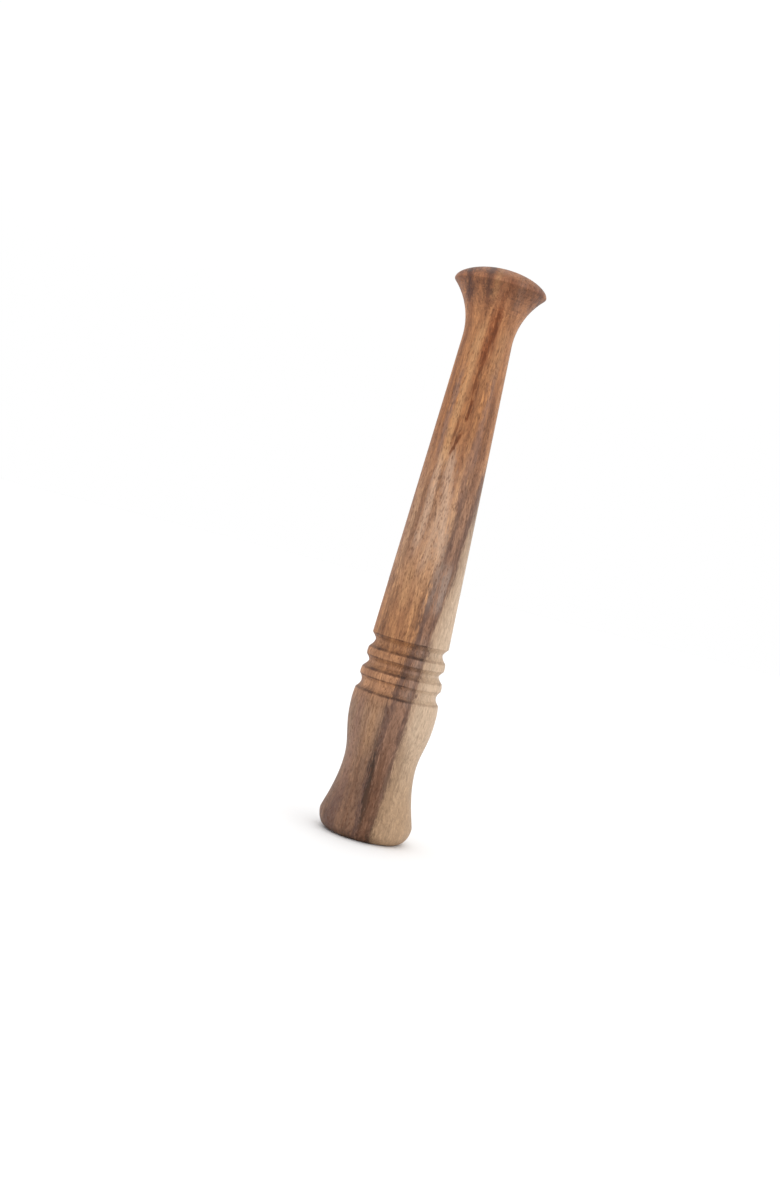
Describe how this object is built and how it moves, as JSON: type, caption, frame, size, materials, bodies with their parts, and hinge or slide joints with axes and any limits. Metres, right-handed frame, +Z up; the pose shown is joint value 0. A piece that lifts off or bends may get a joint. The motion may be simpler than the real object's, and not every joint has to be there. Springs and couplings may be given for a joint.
{
  "type": "muddler",
  "caption": "Turned hardwood bar muddler: broad rounded foot, waisted barrel, coved beads, tapered handle and flared knob with a domed top.",
  "frame": {"origin": "centre of the foot's flat face, the face that the muddler stands on", "axes": "+Z up the turning axis from the foot to the knob, +X and +Y square to it; from -Y the pale sapwood is on the +X side"},
  "size_m": [0.0384, 0.0384, 0.235],
  "materials": {
    "acacia_wood": "turned and sanded acacia with an oiled satin finish, golden brown heartwood with purple-brown streaks and pale sapwood"
  },
  "bodies": {
    "root": {"muddler_body": "acacia_wood"}
  },
  "joints": []
}
